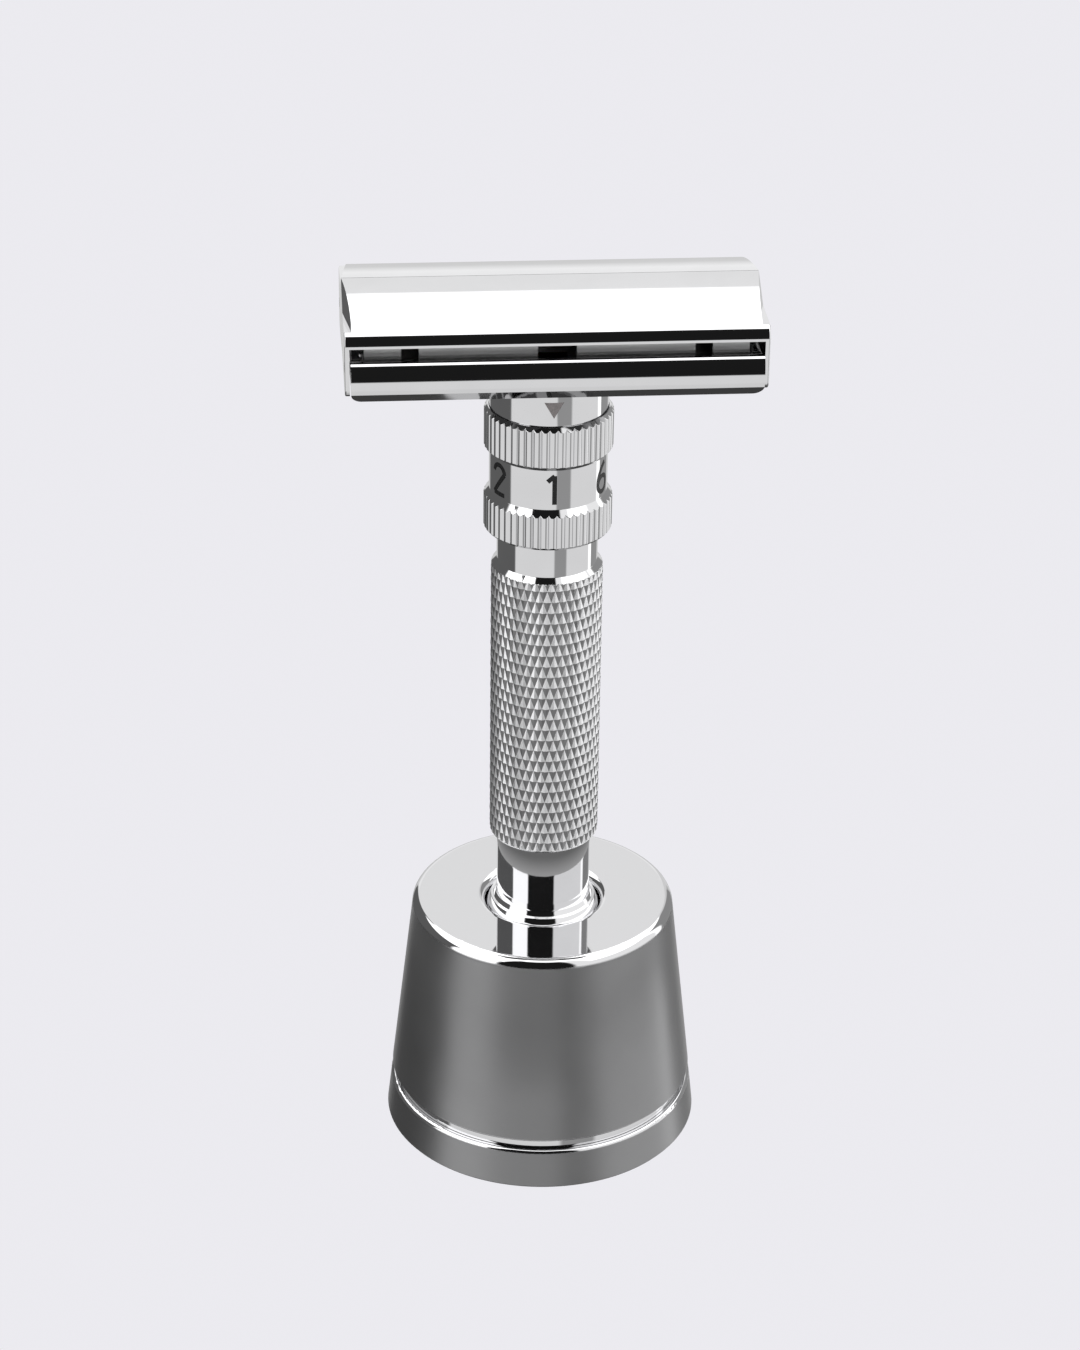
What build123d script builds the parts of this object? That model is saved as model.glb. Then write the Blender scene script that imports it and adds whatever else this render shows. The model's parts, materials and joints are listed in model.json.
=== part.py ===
from build123d import *
import os
from math import cos, radians, sin, sqrt

# Adjustable twist-to-open safety razor standing in its conical counter stand, in millimetres.
# Z = 0 is the counter and +Z runs up the razor. The head lies along X. The index mark and the
# numeral 1 face -Y, the front. Running fits have RUNNING_GAP of radial play.

os.makedirs("parts", exist_ok=True)

RUNNING_GAP = 0.05

# Stand: a cone on a foot ring, bored down the middle for the razor's knob.
FOOT_RADIUS = 17.9
FOOT_HEIGHT = 4.8
GROOVE_TOP = 5.9
GROOVE_RADIUS = 16.7
SHOULDER_RADIUS = 14.85
SHOULDER_HEIGHT = 27.2
STAND_HEIGHT = 28.35
STAND_FLAT_RADIUS = 13.6
BORE_RADIUS = 6.55
BORE_LIP = 0.95
BORE_FLOOR = 10.9
SPIGOT_RADIUS = 14.0
PAD_RADIUS = 16.4
PAD_THICKNESS = 1.1
PAD_PROUD = 0.1

# Knob at the lower end of the handle.
KNOB_RADIUS = 6.42
KNOB_BOTTOM = BORE_FLOOR + RUNNING_GAP
KNOB_SHOULDER = 27.4
KNOB_RIM_RADIUS = 5.9
KNOB_RIM_TOP = 28.45
KNOB_COVE_TOP = 29.9
KNOB_NECK_RADIUS = 5.25
KNOB_STEM_RADIUS = 3.0
KNOB_STEM_TOP = 46.0
KNOB_RING_BOTTOM = 44.1
SCREW_RADIUS = 1.6
SCREW_BOTTOM = 22.0
SCREW_TOP = 60.0

# Handle: knurled grip, upper neck, and the spigot that the dial turns on.
GRIP_RADIUS = 6.1
GRIP_BOTTOM = 37.1
GRIP_TOP = 70.35
NECK_RADIUS = 5.47
NECK_BOTTOM = 71.0
NECK_TOP = 74.8
SPIGOT_TOP = 79.0
DIAL_SPIGOT_RADIUS = 4.9
GRIP_BORE_RADIUS = 4.6
GRIP_BORE_TOP = 60.0
CORE_RADIUS = 4.0
CORE_BORE_RADIUS = 2.5
SNAP_RING_WIDTH = 0.5
SNAP_RING_MOUTH = 2.2

# Dial: two coin-edge rings with the number band between them.
LOWER_RING_RADIUS = 6.93
LOWER_RING_TOP = 78.65
BAND_RADIUS = 6.36
BAND_BOTTOM = 79.4
BAND_TOP = 83.95
UPPER_RING_RADIUS = 6.92
UPPER_RING_BOTTOM = 84.5
UPPER_RING_TOP = 88.45
DIAL_TOP = 88.95
DIAL_RECESS_FLOOR = 87.2
SETTINGS = 6
NUMERAL_HEIGHT = 3.8
NUMERAL_STROKE = 0.5
INLAY_DEPTH = 0.12
NOTCH_RADIUS = 0.35

# Guard: tray with a safety bar along each side, carried by the index barrel and its sleeve.
SLEEVE_RADIUS = 5.2
SLEEVE_BOTTOM = 81.2
BARREL_BORE_RADIUS = 6.0
BARREL_BOTTOM = 88.3
BARREL_WEB_BOTTOM = 92.9
TRAY_BOTTOM = 94.0
TRAY_FLOOR = 94.8
TRAY_HALF_LENGTH = 21.2
TRAY_HALF_WIDTH = 9.0
TRAY_CORNER = 1.1
BAR_FACE = ((-7.09, 96.23), 4.46)
BAR_ROLL = ((-10.44, 97.54), 0.85)
BAR_FOOT_Y = 10.35
BAR_INNER_Y = 9.7
DRAIN_SLOT = (9.0, 2.4)
DRAIN_X = 14.5
DRAIN_Y = 5.0
MARK_TOP = 91.7
MARK_TIP = 89.9
MARK_WIDTH = 2.08
SPRING_COIL_RADIUS = 5.6
SPRING_WIRE_RADIUS = 0.2
SPRING_TURNS = 4

# Blade bed.
BED_HALF_LENGTH = 19.8
BED_HALF_WIDTH = 9.2
BED_LEDGE = 0.16
BED_LEDGE_TOP = 98.4
BED_BOTTOM = 95.0
BED_FLOOR = 95.8
BED_CROWN = 101.6
BLADE_CURVE = 25.8
BED_SKIN = 0.9
CHANNEL_HALF_WIDTH = 2.8
BED_WINDOWS = ((-16.0, -14.2), (-2.0, 2.0), (14.2, 16.0))
WINDOW_HEIGHTS = (96.9, 99.4)
LUG_TOP = 100.9
LUG_INNER_X = 18.75
LUG_OUTER_Y = 8.2
LUG_WIDTH = 1.4

# Doors, hinged at the carrier's corners.
SEAM_HEIGHT = 103.5
DOME_RADIUS = 21.5
DOOR_SKIN = 0.9
DOOR_HALF_LENGTH = 21.8
DOOR_END_INNER = 21.3
DOOR_EDGE_Y = 10.3
DOOR_EDGE_HEIGHT = 99.7
BEAD_START_Y = 8.4
BEAD_RADIUS = 1.35
BEAD_CENTRE_HEIGHT = 99.98
FACET_WIDTH = 0.75
DOOR_END_ROUND = 0.15
DOOR_PLATE_LOW = 94.3
DOOR_LIP = 0.75
SEAM_GAP = 0.06
HINGE_Y = 9.0
HINGE_HEIGHT = 97.25
PIN_RADIUS = 0.5
CARRIER_BOTTOM = 95.95
CARRIER_TOP = 97.2
CARRIER_HALF_WIDTH = 2.5
ARM_INNER = 20.15
ARM_OUTER = 20.95
ARM_LUG = 0.8
RIVET_SHANK_RADIUS = 1.0
ROD_RADIUS = CORE_BORE_RADIUS - RUNNING_GAP


def outline(start, *moves):
    """Closed face: a move of two numbers is a line, four numbers an arc through the first pair."""
    edges = []
    here = start
    for move in moves:
        end = move[-2:]
        if len(move) == 2:
            edges.append(Line(here, end))
        else:
            edges.append(ThreePointArc(here, move[:2], end))
        here = end
    edges.append(Line(here, start))
    return make_face(edges)


def turned(face):
    """Solid of revolution about Z from a face in (radius, height)."""
    return revolve(Plane.XZ * face, Axis.Z)


def milled(face, half_length):
    """Prism along X, centred, from a face in (y, z)."""
    return extrude(Plane.YZ * face, amount=half_length, both=True)


def tube(outer, inner, bottom, top):
    """Upright tube, or a rod when inner is 0."""
    solid = Pos(0, 0, bottom) * Cylinder(outer, top - bottom, align=(Align.CENTER, Align.CENTER, Align.MIN))
    if inner == 0:
        return solid
    bore = Pos(0, 0, bottom) * Cylinder(inner, top - bottom, align=(Align.CENTER, Align.CENTER, Align.MIN))
    return solid - bore


def block(x_range, y_range, z_range):
    """Box between two corners, each range given as (low, high)."""
    size = [high - low for low, high in (x_range, y_range, z_range)]
    corner = (x_range[0], y_range[0], z_range[0])
    return Pos(*corner) * Box(*size, align=(Align.MIN, Align.MIN, Align.MIN))


def on_roll(centre, radius, lean):
    """Point (y, z) on a rolled edge facing -Y, where its surface leans that many degrees from flat."""
    return centre[0] - radius * sin(radians(lean)), centre[1] + radius * cos(radians(lean))


def four_corners(solid):
    """The solid and its mirror images in the XZ and YZ planes."""
    pair = solid + mirror(solid, about=Plane.XZ)
    return pair + mirror(pair, about=Plane.YZ)


def save(name, shape):
    export_step(shape, f"parts/{name}.step")


# ---------------------------------------------------------------- stand

def cone_radius(height):
    """Radius of the stand's straight side at a height."""
    slope = (FOOT_RADIUS - SHOULDER_RADIUS) / SHOULDER_HEIGHT
    return FOOT_RADIUS - slope * height


def stand_body():
    """Cone with a rolled rim, the bore for the knob and a spigot for the foot ring."""
    lip_top = BORE_RADIUS + BORE_LIP
    lip_mid = BORE_LIP * (1 - sqrt(0.5))
    rim_mid = ((SHOULDER_RADIUS + STAND_FLAT_RADIUS) / 2 + 0.3, STAND_HEIGHT - 0.33)
    edge_break = 0.25
    profile = outline(
        (0, PAD_THICKNESS + 0.05),
        (SPIGOT_RADIUS, PAD_THICKNESS + 0.05),
        (SPIGOT_RADIUS, FOOT_HEIGHT + RUNNING_GAP),
        (GROOVE_RADIUS, FOOT_HEIGHT + RUNNING_GAP),
        (GROOVE_RADIUS, GROOVE_TOP),
        (cone_radius(GROOVE_TOP) - edge_break, GROOVE_TOP),
        (cone_radius(GROOVE_TOP), GROOVE_TOP + edge_break),
        (SHOULDER_RADIUS, SHOULDER_HEIGHT),
        (*rim_mid, STAND_FLAT_RADIUS, STAND_HEIGHT),
        (lip_top, STAND_HEIGHT),
        (BORE_RADIUS + lip_mid, STAND_HEIGHT - lip_mid, BORE_RADIUS, STAND_HEIGHT - BORE_LIP),
        (BORE_RADIUS, BORE_FLOOR),
        (0, BORE_FLOOR),
    )
    return turned(profile)


def stand_foot():
    """Foot ring pressed on the body's spigot, recessed underneath for the pad."""
    edge_break = 0.25
    profile = outline(
        (SPIGOT_RADIUS, PAD_THICKNESS),
        (PAD_RADIUS + 0.05, PAD_THICKNESS),
        (PAD_RADIUS + 0.05, PAD_PROUD),
        (FOOT_RADIUS - edge_break, PAD_PROUD),
        (cone_radius(PAD_PROUD + edge_break), PAD_PROUD + edge_break),
        (cone_radius(FOOT_HEIGHT) + 0.04, FOOT_HEIGHT - 0.4),
        (cone_radius(FOOT_HEIGHT) - 0.12, FOOT_HEIGHT - 0.1, cone_radius(FOOT_HEIGHT) - 0.4, FOOT_HEIGHT),
        (SPIGOT_RADIUS, FOOT_HEIGHT),
    )
    return turned(profile)


def stand_pad():
    """Non-slip disc stuck in the foot ring's recess."""
    return tube(PAD_RADIUS, 0, 0, PAD_THICKNESS)


# ---------------------------------------------------------------- knob and lift

def knob():
    """Knob with its smooth neck, and the stem that turns in the handle's end bush."""
    rim_round = 0.15
    cove_foot = (KNOB_RIM_RADIUS - 2 * rim_round, KNOB_RIM_TOP + 0.08)
    cove_mid = (KNOB_NECK_RADIUS + 0.06, (KNOB_COVE_TOP + cove_foot[1]) / 2 - 0.15)
    groove = (KNOB_RING_BOTTOM - 0.02, KNOB_RING_BOTTOM + SNAP_RING_WIDTH + 0.02)
    profile = outline(
        (0, KNOB_BOTTOM),
        (KNOB_RADIUS - 0.6, KNOB_BOTTOM),
        (KNOB_RADIUS, KNOB_BOTTOM + 0.6),
        (KNOB_RADIUS, KNOB_SHOULDER),
        (KNOB_RIM_RADIUS, KNOB_RIM_TOP - rim_round),
        (KNOB_RIM_RADIUS - 0.5 * rim_round, KNOB_RIM_TOP + 0.05, *cove_foot),
        (*cove_mid, KNOB_NECK_RADIUS, KNOB_COVE_TOP),
        (KNOB_NECK_RADIUS, GRIP_BOTTOM - RUNNING_GAP),
        (KNOB_STEM_RADIUS, GRIP_BOTTOM - RUNNING_GAP),
        (KNOB_STEM_RADIUS, groove[0]),
        (KNOB_STEM_RADIUS - 0.4, groove[0]),
        (KNOB_STEM_RADIUS - 0.4, groove[1]),
        (KNOB_STEM_RADIUS, groove[1]),
        (KNOB_STEM_RADIUS, KNOB_STEM_TOP),
        (SCREW_RADIUS, KNOB_STEM_TOP),
        (SCREW_RADIUS, SCREW_BOTTOM),
        (0, SCREW_BOTTOM),
    )
    return turned(profile)


def drive_screw():
    """Lead screw pressed in the knob's stem; the thread is a plain cylinder."""
    return tube(SCREW_RADIUS, 0, SCREW_BOTTOM, SCREW_TOP)


def push_rod():
    """Rod that carries the doors; its lower end is the nut on the lead screw."""
    nut_bottom = KNOB_STEM_TOP + 1.0
    rod = tube(ROD_RADIUS, 0, nut_bottom, CARRIER_BOTTOM)
    return rod - tube(SCREW_RADIUS + RUNNING_GAP, 0, nut_bottom, SCREW_TOP + 1.5)


def door_carrier():
    """Cross beam with an arm at each end, holding the hinge pins at its four corners."""
    beam = block((-ARM_OUTER, ARM_OUTER), (-CARRIER_HALF_WIDTH, CARRIER_HALF_WIDTH),
                 (CARRIER_BOTTOM, CARRIER_TOP))
    arm_foot = CARRIER_BOTTOM + 0.6
    lug = ARM_LUG
    arm = milled(outline(
        (-CARRIER_HALF_WIDTH, CARRIER_BOTTOM),
        (-HINGE_Y, CARRIER_BOTTOM),
        (-HINGE_Y - lug, CARRIER_BOTTOM + lug),
        (-HINGE_Y - lug, HINGE_HEIGHT),
        (-HINGE_Y, HINGE_HEIGHT + lug, -HINGE_Y + lug, HINGE_HEIGHT),
        (-HINGE_Y + lug, arm_foot),
        (-CARRIER_HALF_WIDTH, arm_foot),
    ), ARM_OUTER)
    arm = arm - block((-ARM_INNER, ARM_INNER), (-2 * HINGE_Y, 0), (CARRIER_BOTTOM - 1, CARRIER_TOP + 5))
    pin_hole = Pos(0, -HINGE_Y, HINGE_HEIGHT) * Rot(0, 90, 0) * Cylinder(PIN_RADIUS, 3 * ARM_OUTER)
    arm = arm - pin_hole
    rivet_hole = tube(RIVET_SHANK_RADIUS, 0, CARRIER_BOTTOM - 1, CARRIER_TOP + 1)
    return beam + arm + mirror(arm, about=Plane.XZ) - rivet_hole


def carrier_rivet():
    """Rivet that closes the carrier on the push rod."""
    head_radius = RIVET_SHANK_RADIUS + 0.8
    head_top = CARRIER_TOP + 0.5
    return turned(outline(
        (0, CARRIER_BOTTOM),
        (RIVET_SHANK_RADIUS, CARRIER_BOTTOM),
        (RIVET_SHANK_RADIUS, CARRIER_TOP),
        (head_radius, CARRIER_TOP),
        (head_radius, CARRIER_TOP + 0.2),
        (head_radius - 0.3, head_top),
        (0, head_top),
    ))


def hinge_pins():
    """Four pins, pressed in the carrier's lugs."""
    length = DOOR_HALF_LENGTH - 0.1 - ARM_INNER
    pin = Pos(ARM_INNER, -HINGE_Y, HINGE_HEIGHT) * Rot(0, 90, 0) * Cylinder(
        PIN_RADIUS, length, align=(Align.CENTER, Align.CENTER, Align.MIN))
    return Compound(children=[copy for copy in four_corners(pin).solids()])


# ---------------------------------------------------------------- handle

def handle_grip():
    """Grip, upper neck and dial spigot in one turned tube."""
    edge_break = 0.25
    profile = outline(
        (GRIP_BORE_RADIUS, GRIP_BOTTOM),
        (GRIP_RADIUS - edge_break, GRIP_BOTTOM),
        (GRIP_RADIUS, GRIP_BOTTOM + edge_break),
        (GRIP_RADIUS, GRIP_TOP),
        (NECK_RADIUS, NECK_BOTTOM),
        (NECK_RADIUS, NECK_TOP),
        (DIAL_SPIGOT_RADIUS, NECK_TOP),
        (DIAL_SPIGOT_RADIUS, SPIGOT_TOP),
        (CORE_RADIUS, SPIGOT_TOP),
        (CORE_RADIUS, GRIP_BORE_TOP),
        (GRIP_BORE_RADIUS, GRIP_BORE_TOP),
    )
    return turned(profile)


def handle_bush():
    """Bush pressed in the grip's lower end, where the knob's stem turns."""
    return tube(GRIP_BORE_RADIUS, KNOB_STEM_RADIUS + RUNNING_GAP, GRIP_BOTTOM + 1.0, KNOB_RING_BOTTOM - 0.07)


def knob_washer():
    """Friction washer between the knob and the end bush."""
    return tube(GRIP_BORE_RADIUS - 0.1, KNOB_STEM_RADIUS + RUNNING_GAP, GRIP_BOTTOM + 0.1, GRIP_BOTTOM + 0.9)


def knob_ring():
    """Snap ring that keeps the knob's stem in the bush."""
    ring = tube(GRIP_BORE_RADIUS - 0.4, KNOB_STEM_RADIUS - 0.4, KNOB_RING_BOTTOM,
                KNOB_RING_BOTTOM + SNAP_RING_WIDTH)
    return ring - ring_mouth(KNOB_RING_BOTTOM)


def ring_mouth(bottom):
    """The gap in a snap ring, cut towards +Y."""
    half = SNAP_RING_MOUTH / 2
    return block((-half, half), (0, LOWER_RING_RADIUS), (bottom - 0.1, bottom + SNAP_RING_WIDTH + 0.1))


def core_tube():
    """Tube that ties the grip to the blade bed and guides the push rod."""
    tube_body = tube(CORE_RADIUS, CORE_BORE_RADIUS, GRIP_BORE_TOP, BED_FLOOR)
    ring_groove = tube(CORE_RADIUS + 1, CORE_RADIUS - 0.3, SPIGOT_TOP + 0.03,
                       SPIGOT_TOP + 0.07 + SNAP_RING_WIDTH)
    return tube_body - ring_groove


def dial_ring():
    """Snap ring above the handle's spigot, which keeps the dial down."""
    bottom = SPIGOT_TOP + RUNNING_GAP
    ring = tube(SLEEVE_RADIUS - 0.1, CORE_RADIUS - 0.3, bottom, bottom + SNAP_RING_WIDTH)
    return ring - ring_mouth(bottom)


def click_spring():
    """Leaf clip on the core tube with one nose that clicks in the dial's notches."""
    bottom = SPIGOT_TOP + 0.65
    clip = tube(CORE_RADIUS + 0.4, CORE_RADIUS, bottom, bottom + 0.5)
    nose = Pos(0, -(CORE_RADIUS + 0.65), bottom) * Cylinder(
        0.45, 0.5, align=(Align.CENTER, Align.CENTER, Align.MIN))
    return clip + nose


# ---------------------------------------------------------------- dial

def dial_direction(setting):
    """Unit vector to a numeral: 1 faces the front and the others follow clockwise from above."""
    angle = radians(-90 - (setting - 1) * 360 / SETTINGS)
    return cos(angle), sin(angle)


def figure_strokes(setting):
    """Centre lines of the numerals 1 to 6, about one unit wide and two high, about the origin."""
    bowl = 0.55
    if setting == 1:
        return [Line((-0.35, 0.6), (0.1, 1.0)), Line((0.1, 1.0), (0.1, -1.0))]
    if setting == 2:
        return [ThreePointArc((-bowl, 0.5), (0, 1.0), (bowl, 0.45)), Line((bowl, 0.45), (-bowl, -1.0)),
                Line((-bowl, -1.0), (bowl, -1.0))]
    if setting == 3:
        return [ThreePointArc((-0.5, 0.65), (0.4, 0.85), (0, 0.05)),
                ThreePointArc((0, 0.05), (0.45, -0.85), (-bowl, -0.6))]
    if setting == 4:
        return [Line((0.25, -1.0), (0.25, 1.0)), Line((0.25, 1.0), (-bowl, -0.4)),
                Line((-bowl, -0.4), (bowl, -0.4))]
    if setting == 5:
        return [Line((0.5, 1.0), (-0.4, 1.0)), Line((-0.4, 1.0), (-0.45, 0.15)),
                ThreePointArc((-0.45, 0.15), (0.5, -0.4), (-0.5, -0.85))]
    return [CenterArc((0, -0.44), bowl, 0, 360), ThreePointArc((-bowl, -0.4), (-0.3, 0.5), (0.3, 1.0))]


def numeral(setting):
    """One numeral as a thin curved inlay in the number band."""
    x, y = dial_direction(setting)
    middle = (BAND_BOTTOM + BAND_TOP) / 2
    face = Plane(origin=(x * BAND_RADIUS, y * BAND_RADIUS, middle), x_dir=(-y, x, 0), z_dir=(x, y, 0))
    unit = (NUMERAL_HEIGHT - NUMERAL_STROKE) / 2
    figure = Sketch()
    for stroke in figure_strokes(setting):
        figure += trace(scale(stroke, by=unit), line_width=NUMERAL_STROKE)
    band_skin = tube(BAND_RADIUS, BAND_RADIUS - INLAY_DEPTH, BAND_BOTTOM, BAND_TOP)
    return extrude(face * figure, amount=1.0, both=True) & band_skin


def dial_numerals():
    figures = []
    for setting in range(1, SETTINGS + 1):
        figures += numeral(setting).solids()
    return Compound(children=figures)


def dial_collar(numerals):
    """Dial with two coin-edge rings, bored for the handle spigot, the sleeve and the barrel."""
    edge_break = 0.25
    bottom = NECK_TOP + RUNNING_GAP
    profile = outline(
        (DIAL_SPIGOT_RADIUS + RUNNING_GAP, bottom),
        (LOWER_RING_RADIUS - edge_break, bottom),
        (LOWER_RING_RADIUS, bottom + edge_break),
        (LOWER_RING_RADIUS, LOWER_RING_TOP),
        (BAND_RADIUS, BAND_BOTTOM),
        (BAND_RADIUS, BAND_TOP),
        (UPPER_RING_RADIUS, UPPER_RING_BOTTOM),
        (UPPER_RING_RADIUS, UPPER_RING_TOP),
        (BAND_RADIUS + 0.2, DIAL_TOP),
        (BAND_RADIUS + RUNNING_GAP, DIAL_TOP),
        (BAND_RADIUS + RUNNING_GAP, DIAL_RECESS_FLOOR),
        (SLEEVE_RADIUS + RUNNING_GAP, DIAL_RECESS_FLOOR),
        (SLEEVE_RADIUS + RUNNING_GAP, SPIGOT_TOP),
        (DIAL_SPIGOT_RADIUS + RUNNING_GAP, SPIGOT_TOP),
    )
    dial = turned(profile)
    for setting in range(1, SETTINGS + 1):
        x, y = dial_direction(setting)
        reach = SLEEVE_RADIUS + RUNNING_GAP
        dial -= Pos(x * reach, y * reach, SPIGOT_TOP + 0.5) * Cylinder(
            NOTCH_RADIUS, 1.0, align=(Align.CENTER, Align.CENTER, Align.MIN))
    return dial - numerals


# ---------------------------------------------------------------- guard

def index_mark():
    """Triangle pointing down at the chosen numeral, inlaid in the barrel's front."""
    half = MARK_WIDTH / 2
    triangle = make_face(Polyline((-half, MARK_TOP), (half, MARK_TOP), (0, MARK_TIP), close=True))
    skin = tube(BAND_RADIUS, BAND_RADIUS - INLAY_DEPTH, MARK_TIP - 1, MARK_TOP + 1)
    front = block((-half - 1, half + 1), (-BAND_RADIUS - 1, 0), (MARK_TIP - 1, MARK_TOP + 1))
    return extrude(Plane.XZ * triangle, amount=2 * BAND_RADIUS, both=True) & skin & front


def index_barrel(mark):
    """Plain barrel under the tray, which slides in the dial's recess."""
    barrel = turned(outline(
        (BARREL_BORE_RADIUS, BARREL_BOTTOM),
        (BAND_RADIUS, BARREL_BOTTOM),
        (BAND_RADIUS, TRAY_BOTTOM),
        (SLEEVE_RADIUS, TRAY_BOTTOM),
        (SLEEVE_RADIUS, BARREL_WEB_BOTTOM),
        (BARREL_BORE_RADIUS, BARREL_WEB_BOTTOM),
    ))
    return barrel - mark


def guard_sleeve():
    """Threaded sleeve that the dial drives; the thread is a plain cylinder."""
    return tube(SLEEVE_RADIUS, CORE_RADIUS + RUNNING_GAP, SLEEVE_BOTTOM, TRAY_BOTTOM)


def guard_spring():
    """Compression spring between the dial's recess and the barrel's web; it takes up thread play."""
    low = DIAL_RECESS_FLOOR + SPRING_WIRE_RADIUS + 0.02
    high = BARREL_WEB_BOTTOM - SPRING_WIRE_RADIUS - 0.02
    path = Helix(pitch=(high - low) / SPRING_TURNS, height=high - low, radius=SPRING_COIL_RADIUS)
    wire = Plane(origin=path @ 0, z_dir=path % 0) * Circle(SPRING_WIRE_RADIUS)
    return Pos(0, 0, low) * sweep(wire, path=path)


def guard_tray():
    """Tray with a rolled safety bar along each long side and drain slots in its floor."""
    root = TRAY_HALF_WIDTH - 0.1
    bar = outline(
        (-root, TRAY_FLOOR),
        (-root, TRAY_BOTTOM),
        (-BAR_FOOT_Y, TRAY_BOTTOM),
        on_roll(*BAR_FACE, 104),
        (*on_roll(*BAR_FACE, 86), *on_roll(*BAR_FACE, 68)),
        (*on_roll(*BAR_ROLL, 20), *on_roll(*BAR_ROLL, -35)),
        (-BAR_INNER_Y - 0.15, BAR_ROLL[0][1] - 0.14),
        (-BAR_INNER_Y, TRAY_FLOOR + 0.1),
    )
    half = milled(bar, TRAY_HALF_LENGTH)
    floor = block((-TRAY_HALF_LENGTH, TRAY_HALF_LENGTH), (-TRAY_HALF_WIDTH, TRAY_HALF_WIDTH),
                  (TRAY_BOTTOM, TRAY_FLOOR))
    tray = floor + half + mirror(half, about=Plane.XZ)
    end_view = Pos(0, 0, TRAY_BOTTOM + 5) * Box(2 * TRAY_HALF_LENGTH, 30, 10)
    lower_corners = end_view.edges().filter_by(Axis.Y).group_by(Axis.Z)[0]
    tray &= fillet(lower_corners, TRAY_CORNER)
    tray -= tube(CORE_RADIUS + 0.1, 0, TRAY_BOTTOM - 1, TRAY_FLOOR + 1)
    drain = SlotOverall(*DRAIN_SLOT)
    for x in (-DRAIN_X, DRAIN_X):
        for y in (-DRAIN_Y, DRAIN_Y):
            tray -= extrude(Pos(x, y, TRAY_BOTTOM - 1) * drain, amount=3)
    return tray


# ---------------------------------------------------------------- blade bed

def blade_curve_height(y):
    """Height of the blade's underside at a distance from the middle."""
    return BED_CROWN - BLADE_CURVE + sqrt(BLADE_CURVE ** 2 - y ** 2)


def blade_bed():
    """Arched bed with a channel for the carrier, windows in its sides and four corner lugs."""
    side = blade_curve_height(BED_HALF_WIDTH)
    ledge = BED_HALF_WIDTH + BED_LEDGE
    bed = milled(outline(
        (-ledge, BED_BOTTOM),
        (-ledge, BED_LEDGE_TOP - BED_LEDGE),
        (-BED_HALF_WIDTH, BED_LEDGE_TOP),
        (-BED_HALF_WIDTH, side),
        (0, BED_CROWN, BED_HALF_WIDTH, side),
        (BED_HALF_WIDTH, BED_LEDGE_TOP),
        (ledge, BED_LEDGE_TOP - BED_LEDGE),
        (ledge, BED_BOTTOM),
    ), BED_HALF_LENGTH)
    inner_wall = CHANNEL_HALF_WIDTH + BED_SKIN
    outer_wall = BED_HALF_WIDTH - BED_SKIN
    middle = (inner_wall + outer_wall) / 2
    roof = [(y, blade_curve_height(y) - BED_SKIN) for y in (inner_wall, middle, outer_wall)]
    pocket = milled(outline(
        (inner_wall, BED_FLOOR),
        roof[0],
        (*roof[1], *roof[2]),
        (outer_wall, BED_FLOOR),
    ), BED_HALF_LENGTH - BED_SKIN)
    bed -= pocket + mirror(pocket, about=Plane.XZ)
    channel = CHANNEL_HALF_WIDTH
    bed -= block((-30, 30), (-channel, channel), (BED_FLOOR, BED_CROWN + 1))
    for low, high in BED_WINDOWS:
        bed -= block((low, high), (outer_wall - 0.1, 20), WINDOW_HEIGHTS)
        bed -= block((low, high), (-20, -outer_wall + 0.1), WINDOW_HEIGHTS)
    lug = block((LUG_INNER_X, BED_HALF_LENGTH), (-LUG_OUTER_Y, -LUG_OUTER_Y + LUG_WIDTH),
                (blade_curve_height(LUG_OUTER_Y) - 0.5, LUG_TOP))
    bed += four_corners(lug)
    return bed - tube(CORE_RADIUS, 0, BED_BOTTOM - 1, BED_FLOOR + 0.5)


# ---------------------------------------------------------------- doors

def dome_height(y, radius):
    """Height of the arched door at a distance from the seam, for its outer or inner radius."""
    return SEAM_HEIGHT - DOME_RADIUS + sqrt(radius ** 2 - y ** 2)


def door_section():
    """Outside of the front door in (y, z), with its end plates' outline below the lid."""
    gap = SEAM_GAP / 2
    edge = -DOOR_EDGE_Y
    bead = ((edge + BEAD_RADIUS, BEAD_CENTRE_HEIGHT), BEAD_RADIUS)
    reach = HINGE_Y - gap - 0.05
    drop = 2.0
    low = DOOR_PLATE_LOW
    swing = [(-HINGE_Y + sqrt(reach ** 2 - fall ** 2), HINGE_HEIGHT - fall) for fall in (drop, drop / 2)]
    return outline(
        (-gap, dome_height(gap, DOME_RADIUS)),
        (-BEAD_START_Y / 2, dome_height(BEAD_START_Y / 2, DOME_RADIUS),
         -BEAD_START_Y, dome_height(BEAD_START_Y, DOME_RADIUS)),
        on_roll(*bead, 5),
        (*on_roll(*bead, 47), edge, BEAD_CENTRE_HEIGHT),
        (edge, low + 0.9),
        (edge + 0.3, low + 0.25, edge + 1.0, low),
        (1.4 - HINGE_Y, low),
        swing[0],
        (*swing[1], -HINGE_Y + reach, HINGE_HEIGHT),
        (-gap, HINGE_HEIGHT + 1.0),
    )


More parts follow.
